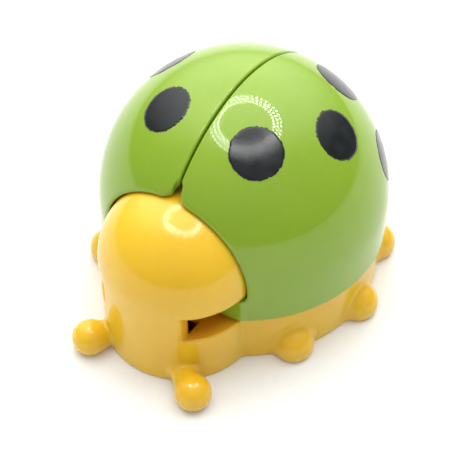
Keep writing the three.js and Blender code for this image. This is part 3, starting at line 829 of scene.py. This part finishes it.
def buttonField(x, y, z):
    s = buttonSettings
    low, high = (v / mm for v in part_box("tail_button"))
    middleZ = (low.z + high.z) / 2
    rod = (0, centreOf("fork_rack").z)
    flange = rodField(x, y, z, rod, s["flangeRadius"], low.y, low.y + s["flangeThickness"])
    stem = blockField(
        x, y, z, tuple(low), (high.x, high.y + s["stemPast"], high.z), s["stemEdge"])
    padY = bodySettings["ringRadius"] - s["padInset"]
    pad = ellipsoidField(
        x, y, z, (0, padY, middleZ),
        (high.x + s["padSide"], high.y - padY, high.z - middleZ + s["padRise"]))
    button = np.minimum(flange, roundMax(stem, pad, s["padBlend"]))
    socket = rodField(
        x, y, z, rod, s["socketRadius"], low.y - s["socketStart"], low.y + s["socketDepth"])
    button = roundMax(button, -socket, s["socketEdge"])
    for row in s["gripRows"]:  # grip grooves across the pad
        groove = np.hypot(y - high.y - s["gripPast"], z - middleZ - row) - s["gripRadius"]
        button = roundMax(button, -groove, s["gripPast"])
    return button


def makeCovers():
    for name, field, node, body, settings in (
            ("innerBack", backField, "abdomen_cover", "body", backSettings),
            ("undersideCover", underField, "base_cover", "body", underSettings),
            ("tailButton", buttonField, "tail_button", "pusher", buttonSettings)):
        obj = meshNode(name, field, node, settings["cell"])
        finishPiece(obj, body, yellowAbs, [node])


# The mechanism in the base.

gearSettings = {
    "module": 0.7, "teeth": 10, "pressure": 25.0, "addendum": 0.8, "dedendum": 1.05,
    "backlash": 0.16, "toothEdge": 0.08, "faceEdge": 0.12, "boreHalf": 1.76, "boreTop": 20.0,
    "boreEdge": 0.1, "cell": 0.16,
}


def gearField(x, y, z):
    s = gearSettings
    low, high = (v.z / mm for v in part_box("left_wing_gear"))
    pitch = s["module"] * s["teeth"] / 2
    pressure = math.radians(s["pressure"])
    base = pitch * math.cos(pressure)
    radius = np.hypot(x - pivotX, y - pivotY)
    local = np.arccos(np.minimum(1, base / np.maximum(radius, base)))
    half = math.pi / (2 * s["teeth"]) - s["backlash"] / (2 * pitch)
    half = half + math.tan(pressure) - pressure - (np.tan(local) - local)
    step = math.tau / s["teeth"]
    angle = np.arctan2(y - pivotY, x - pivotX)
    off = np.abs((angle % step) - step / 2)
    root = radius - pitch + s["dedendum"] * s["module"]
    tip = radius - pitch - s["addendum"] * s["module"]
    tooth = roundMax(radius * (off - half), tip, s["toothEdge"])
    gear = roundMin(root, tooth, s["faceEdge"])
    gear = roundMax(gear, np.abs(z - (low + high) / 2) - (high - low) / 2, s["faceEdge"])
    half, edge = s["boreHalf"], s["boreEdge"]
    bore = blockField(
        x, y, z, (pivotX - half, pivotY - half, 0), (pivotX + half, pivotY + half, s["boreTop"]),
        edge)
    return roundMax(gear, -bore, edge)


rackSettings = {
    "teeth": 4, "toothEdge": 0.1, "toothRoot": 0.5, "tineEdge": 0.3, "tinePast": 2.0,
    "bridgeBack": 10.0, "bridgeDepth": 3.0, "bridgeEdge": 0.4,
    "rodRadius": 1.5, "rodStart": 1.0, "rodEdge": 0.3, "rodUnder": 0.2, "rodBlend": 1.0,
    "cell": 0.25,
}


def rackField(x, y, z):
    s, g = rackSettings, gearSettings
    low, high = (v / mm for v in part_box("fork_rack"))
    side = np.abs(x)
    middleZ = (low.z + high.z) / 2
    slant = math.radians(g["pressure"])
    pitchX = pivotX + g["module"] * g["teeth"] / 2
    tipX = pitchX - g["addendum"] * g["module"]
    rootX = pitchX + g["dedendum"] * g["module"]
    bridgeY = low.y + s["bridgeBack"]
    tine = blockField(
        side, y, z, (rootX, low.y, low.z), (high.x, bridgeY + s["tinePast"], high.z),
        s["tineEdge"])
    pitch = math.pi * g["module"]
    nearest = np.clip(np.round((y - pivotY) / pitch), 0, s["teeth"] - 1) * pitch + pivotY
    half = pitch / 4 - g["backlash"] / 2 - (pitchX - side) * math.tan(slant)
    flank = (np.abs(y - nearest) - half) * math.cos(slant)
    tooth = roundMax(flank, tipX - side, s["toothEdge"])
    tooth = np.maximum(tooth, side - rootX - s["toothRoot"])
    tooth = roundMax(tooth, np.abs(z - middleZ) - (high.z - low.z) / 2, s["toothEdge"])
    bridge = blockField(
        x, y, z, (-high.x, bridgeY, low.z), (high.x, bridgeY + s["bridgeDepth"], high.z),
        s["bridgeEdge"])
    rod = rodField(
        x, y, z, (0, middleZ), s["rodRadius"], bridgeY + s["rodStart"], high.y, s["rodEdge"])
    rod = roundMax(rod, low.z - z, s["rodUnder"])
    return np.minimum(np.minimum(tine, tooth), roundMin(bridge, rod, s["rodBlend"]))


retainerSettings = {
    "frontHalfWidth": 10.8, "frontEndY": -18.0, "rearStartY": -21.0, "edge": 0.4, "blend": 1.2,
    "faceEdge": 0.2, "holeEdge": 0.15, "cell": 0.3,
    "pinSocket": (1.3, 4.9, 8.0), "screwHole": (0.9, 2.0, 8.0),  # radius, low, high
}


def retainerField(x, y, z):  # the plate under the fork, with the pins' lower sockets
    s = retainerSettings
    low, high = (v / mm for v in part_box("gear_cover"))
    side = np.abs(x)
    half = s["frontHalfWidth"]
    front = blockField(
        x, y, z, (-half, low.y, low.z), (half, s["frontEndY"], high.z), s["edge"])
    rear = blockField(
        x, y, z, (low.x, s["rearStartY"], low.z), (high.x, high.y, high.z), s["edge"])
    plate = roundMin(front, rear, s["blend"])
    plate = roundMax(
        plate, np.abs(z - (low.z + high.z) / 2) - (high.z - low.z) / 2, s["faceEdge"])
    socket = postField(side, y, z, (pivotX, pivotY), *s["pinSocket"])
    plate = roundMax(plate, -socket, s["holeEdge"])
    hole = postField(side, y, z, centreOf("gear_cover_screw_1"), *s["screwHole"])
    return roundMax(plate, -hole, s["holeEdge"])


screwSettings = {
    "headRadius": 2.0, "headHeight": 0.9, "headEdge": 0.1,
    "crossHalf": 0.26, "crossTaper": 0.1, "crossReach": 1.1, "crossSlope": 0.6, "crossFloor": 0.3,
    "crossEdge": 0.06, "pitch": 0.8, "shankRadius": 0.85, "threadHeight": 0.15,
    "tip": 7.4, "taperLength": 1.2, "tipShare": 0.15, "shankMiddle": 3.7, "shankHalf": 3.8,
    "width": 4.0, "height": 8.4, "cell": 0.15,
}


def screwField(x, y, z):  # pan head down, thread up, origin under the head
    s = screwSettings
    radius, height = s["headRadius"], s["headHeight"]
    head = ellipsoidField(x, y, z, (0, 0, 0), (radius, radius, height))
    head = roundMax(head, z, s["headEdge"])
    arm = np.minimum(np.abs(x), np.abs(y))
    reach = np.maximum(np.abs(x), np.abs(y))
    deep = z + height
    cross = np.maximum(arm - s["crossHalf"] + deep * s["crossTaper"],
                       reach - s["crossReach"] + deep * s["crossSlope"])
    cross = np.maximum(cross, z + s["crossFloor"])
    head = roundMax(head, -cross, s["crossEdge"])
    thread = np.cos(math.tau * z / s["pitch"] - np.arctan2(y, x))
    taper = np.clip((s["tip"] - z) / s["taperLength"], s["tipShare"], 1)
    shank = np.hypot(x, y) - taper * (s["shankRadius"] + s["threadHeight"] * thread)
    shank = np.maximum(shank * 0.7, np.abs(z - s["shankMiddle"]) - s["shankHalf"])
    return roundMin(head, shank, s["headEdge"])


def scatterTree():
    tree, given = startTree("copies of a piece on points", [
        ("Prototype", "Object", None), ("Scale", "Vector", (1.0, 1.0, 1.0)), ("Seed", "Int", 1),
        ("Material", "Material", None),
    ])
    prototype = addNode(tree, "GeometryNodeObjectInfo", inputs={"Object": given["Prototype"]})
    turn = addNode(tree, "FunctionNodeRandomValue", {"data_type": "FLOAT_VECTOR"}, {
        0: (0.0, 0.0, 0.0), 1: (0.0, 0.0, math.tau), "Seed": given["Seed"]}).outputs[0]
    copies = addNode(tree, "GeometryNodeInstanceOnPoints", inputs={
        "Points": given["Geometry"], "Instance": prototype.outputs["Geometry"],
        "Rotation": turn, "Scale": given["Scale"]}).outputs[0]
    endTree(tree, copies, given["Material"])
    return tree


def makeScrews():
    s = screwSettings
    prototype = meshField(
        "screwPrototype", screwField, (-2.4, -2.4, -1.4), (2.4, 2.4, 8.2), s["cell"])
    tree = scatterTree()
    sets = [("baseScrews", "base_screw", 4, 2), ("retainerScrews", "gear_cover_screw", 2, 5),
            ("innerBackScrews", "abdomen_screw", 4, 7)]
    for name, node, count, seed in sets:
        nodes = [f"{node}_{i + 1}" for i in range(count)]
        low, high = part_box(nodes[0])
        wide = (high.x - low.x) / (s["width"] * mm)
        tall = (high.z - low.z) / (s["height"] * mm)
        rise = s["headHeight"] * tall
        seats = [(*centreOf(n).xy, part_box(n)[0].z / mm + rise) for n in nodes]
        screws = runTree(pointsObject(name, seats), tree, {
            "Prototype": prototype, "Scale": (wide, wide, tall), "Seed": seed,
            "Material": zincSteel})
        finishPiece(screws, "body", None, nodes)
    bpy.data.objects.remove(prototype)


springSettings = {"wireRadius": 0.3, "turns": 7.0, "meanRadius": 2.6, "sides": 12}


def makeSpring():
    s = springSettings
    low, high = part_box("return_spring")
    tree, given = startTree("compression spring", [
        ("Mean Radius", "Float", 0.0026), ("Wire Radius", "Float", 0.0003),
        ("Turns", "Float", 7.0), ("Length", "Float", 0.01), ("Closed Share", "Float", 0.12),
        ("Sides", "Int", 12), ("Start", "Vector", None), ("Material", "Material", None),
    ])
    path = addNode(tree, "GeometryNodeCurveSpiral", inputs={
        "Resolution": 48, "Rotations": given["Turns"], "Start Radius": given["Mean Radius"],
        "End Radius": given["Mean Radius"], "Height": given["Length"]}).outputs[0]
    # The end coils lie almost closed: the rise along the wire is eased at both ends.
    along = addNode(tree, "GeometryNodeSplineParameter").outputs["Factor"]
    eased = addNode(tree, "ShaderNodeMapRange", {"interpolation_type": "SMOOTHSTEP"}, {
        "Value": along, "From Min": 0.0, "From Max": 1.0, "To Min": 0.0, "To Max": 1.0})
    rise = mathNode(tree, "SUBTRACT", eased.outputs[0], along)
    rise = mathNode(tree, "MULTIPLY", rise, given["Closed Share"])
    rise = mathNode(tree, "MULTIPLY", rise, given["Length"])
    lift = addNode(tree, "ShaderNodeCombineXYZ", inputs={"Z": rise}).outputs[0]
    path = addNode(tree, "GeometryNodeSetPosition", inputs={
        "Geometry": path, "Offset": lift}).outputs[0]
    section = addNode(tree, "GeometryNodeCurvePrimitiveCircle", inputs={
        "Resolution": given["Sides"], "Radius": given["Wire Radius"]}).outputs[0]
    wire = addNode(tree, "GeometryNodeCurveToMesh", inputs={
        "Curve": path, "Profile Curve": section, "Fill Caps": True}).outputs[0]
    laid = addNode(tree, "GeometryNodeTransform", inputs={
        "Geometry": wire, "Translation": given["Start"],
        "Rotation": (-math.pi / 2, 0.0, 0.0)}).outputs[0]
    endTree(tree, addNode(tree, "GeometryNodeSetShadeSmooth", inputs={0: laid}).outputs[0],
            given["Material"])
    wireRadius = s["wireRadius"] * mm
    middle = (low + high) / 2
    spring = runTree(pointsObject("returnSpring", [(0, 0, 0)]), tree, {
        "Mean Radius": s["meanRadius"] * mm, "Wire Radius": wireRadius, "Turns": s["turns"],
        "Length": high.y - low.y - 2 * wireRadius, "Sides": s["sides"],
        "Start": (0.0, low.y + wireRadius, middle.z), "Material": springSteel})
    finishPiece(spring, "body", None, ["return_spring"])
    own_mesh(spring)


pinSettings = {"radius": 1.0, "edge": 0.25, "cell": 0.25}


def pinField(x, y, z):
    s = pinSettings
    return postField(
        x, y, z, (pivotX, pivotY), s["radius"], pinLow.z / mm, pinHigh.z / mm, s["edge"])


def makeMechanism():
    for side, mirror in (("left", False), ("right", True)):
        gear = meshNode(
            f"{side}Pinion", gearField, "left_wing_gear", gearSettings["cell"], mirror)
        finishPiece(gear, f"{side}_wing_case", redAcetal, [f"{side}_wing_gear"])
        pin = meshNode(
            f"{side}PivotPin", pinField, "left_pivot_pin", pinSettings["cell"], mirror)
        finishPiece(pin, "body", zincSteel, [f"{side}_pivot_pin"])
    fork = meshNode("forkRack", rackField, "fork_rack", rackSettings["cell"])
    finishPiece(fork, "pusher", redAcetal, ["fork_rack"])
    plate = meshNode("retainerPlate", retainerField, "gear_cover", retainerSettings["cell"])
    finishPiece(plate, "body", whiteAcetal, ["gear_cover"])


# The stage: floor, lights and camera.

stageSettings = {
    "floorSize": 12000.0, "floorDrop": 0.02, "floorColour": "#E2E2E0", "fibreColour": "#E8E8E6",
    "floorGlow": 0.06,
    "lamps": 46, "lampRows": 3, "ringRadius": 61.0, "rowGap": 9.5, "ringHeight": 210.0,
    "ringCentre": (0.0, 6.0), "lampSize": (4.2, 4.8), "lampPower": 30.0,
    "softboxSize": 700.0, "softboxAim": (0.0, 0.0, 20.0),
    "overheadPlace": (0.0, 120.0, 700.0), "overheadPower": 2.9,
    "frontPlace": (-500.0, -600.0, 350.0), "frontPower": 0.7,
    "roomOverhead": 0.6, "roomHorizon": 0.25, "roomBand": (0.05, 0.95),
    "windowPower": 1.9, "windowToward": (-0.33, 0.5, 0.8), "windowBand": (0.45, 0.95),
}
cameraSettings = {
    "azimuth": 33.83, "elevation": 46.97, "distance": 297.5, "aside": -3.82, "raise": -8.53,
    "lens": 106.9,
}


def emissive(name, colour, power):
    material, tree, _ = startMaterial(name)
    shader = addNode(tree, "ShaderNodeEmission", inputs={
        "Color": hexToLinear(colour), "Strength": power})
    endMaterial(tree, shader)
    return material


def paperFloor(name):
    # Smooth white studio card: almost even, with a faint fibre and a little light from below.
    s = stageSettings
    material, tree, place = startMaterial(name)
    fibre = noiseAt(tree, place, 1.5, 3.0)
    colour = mixColours(
        tree, fibre, hexToLinear(s["floorColour"]), hexToLinear(s["fibreColour"]))
    shader = addNode(tree, "ShaderNodeBsdfPrincipled", inputs={
        "Base Color": colour, "Roughness": 0.6, "Specular IOR Level": 0.2,
        "Emission Color": (1, 1, 1, 1), "Emission Strength": s["floorGlow"]})
    endMaterial(tree, shader)
    return material


def makeStage():
    s = stageSettings
    half = s["floorSize"] / 2 * mm
    mesh = bpy.data.meshes.new("floor")
    level = cadBox[0].z - s["floorDrop"] * mm
    mesh.from_pydata([(-half, -half, level), (half, -half, level), (half, half, level),
                      (-half, half, level)], [], [(0, 1, 2, 3)])
    mesh.materials.append(paperFloor("white studio card"))
    floor = bpy.data.objects.new("floor", mesh)
    bpy.context.scene.collection.objects.link(floor)

    lamp = bpy.data.meshes.new("lampPrototype")
    wide, long = (v / 2 * mm for v in s["lampSize"])
    lamp.from_pydata([(-wide, -long, 0), (-wide, long, 0), (wide, long, 0), (wide, -long, 0)],
                     [], [(0, 1, 2, 3)])
    prototype = bpy.data.objects.new("lampPrototype", lamp)
    bpy.context.scene.collection.objects.link(prototype)
    places = []
    count = s["lamps"] * s["lampRows"]
    for i in range(count):  # the rows are staggered
        angle = math.tau * i / count
        radius = s["ringRadius"] + s["rowGap"] * (i % s["lampRows"])
        places.append((s["ringCentre"][0] + radius * math.cos(angle),
                       s["ringCentre"][1] + radius * math.sin(angle), s["ringHeight"]))
    ring = runTree(pointsObject("ringLight", places), scatterTree(), {
        "Prototype": prototype, "Scale": (1.0, 1.0, 1.0), "Seed": 3,
        "Material": emissive("ring lamp diodes", "#FFFFFF", s["lampPower"])})
    bpy.data.objects.remove(prototype)
    ring.visible_diffuse = False
    ring.visible_camera = False
    ring.visible_shadow = False

    def softbox(name, place, power):
        light = bpy.data.lights.new(name, "AREA")
        light.size = s["softboxSize"] * mm
        light.energy = power
        obj = bpy.data.objects.new(name, light)
        obj.location = Vector(place) * mm
        toward = Vector(s["softboxAim"]) * mm - obj.location
        obj.rotation_euler = toward.to_track_quat("-Z", "Y").to_euler()
        bpy.context.scene.collection.objects.link(obj)
        obj.visible_glossy = False

    softbox("overheadSoftbox", s["overheadPlace"], s["overheadPower"])
    softbox("frontSoftbox", s["frontPlace"], s["frontPower"])

    # A pale room: bright overhead, dimmer toward the horizon, with a wide window high behind.
    world = bpy.data.worlds.new("softWhiteRoom")
    world.use_nodes = True
    tree = world.node_tree
    tree.nodes.clear()
    direction = addNode(tree, "ShaderNodeTexCoord").outputs["Generated"]
    height = addNode(tree, "ShaderNodeSeparateXYZ", inputs={0: direction}).outputs["Z"]
    rise = addNode(tree, "ShaderNodeMapRange", {"interpolation_type": "SMOOTHSTEP"}, {
        "Value": height, "From Min": s["roomBand"][0], "From Max": s["roomBand"][1],
        "To Min": s["roomHorizon"], "To Max": s["roomOverhead"]}).outputs[0]
    toward = addNode(tree, "ShaderNodeVectorMath", {"operation": "DOT_PRODUCT"}, {
        0: direction, 1: Vector(s["windowToward"]).normalized()}).outputs["Value"]
    window = addNode(tree, "ShaderNodeMapRange", {"interpolation_type": "SMOOTHSTEP"}, {
        "Value": toward, "From Min": s["windowBand"][0], "From Max": s["windowBand"][1],
        "To Min": 0.0, "To Max": s["windowPower"]}).outputs[0]
    power = mathNode(tree, "ADD", rise, window)
    sky = addNode(tree, "ShaderNodeBackground", inputs={
        "Color": hexToLinear("#FFFFFF"), "Strength": power}).outputs[0]
    addNode(tree, "ShaderNodeOutputWorld", inputs={"Surface": sky})
    bpy.context.scene.world = world
    bpy.context.scene.view_settings.view_transform = "Standard"


def makeCamera():
    s = cameraSettings
    azimuth, elevation = math.radians(s["azimuth"]), math.radians(s["elevation"])
    back = Vector((math.sin(azimuth) * math.cos(elevation),
                   -math.cos(azimuth) * math.cos(elevation), math.sin(elevation)))
    right = Vector((math.cos(azimuth), math.sin(azimuth), 0))
    up = back.cross(right)
    data = bpy.data.cameras.new("camera")
    data.lens = s["lens"]
    data.sensor_width = 36
    data.clip_start, data.clip_end = 0.01, 20
    camera = bpy.data.objects.new("camera", data)
    camera.location = (Vector((0, 0, shellZ)) + back * s["distance"] + right * s["aside"]
                       + up * s["raise"]) * mm
    camera.rotation_euler = Matrix((right, up, back)).transposed().to_euler()
    bpy.context.scene.collection.objects.link(camera)
    bpy.context.scene.camera = camera


makeCamera()
makeStage()
makeBody()
makeWings()
makeSpots()
makeCovers()
makeMechanism()
makeScrews()
makeSpring()
print("all pieces made")
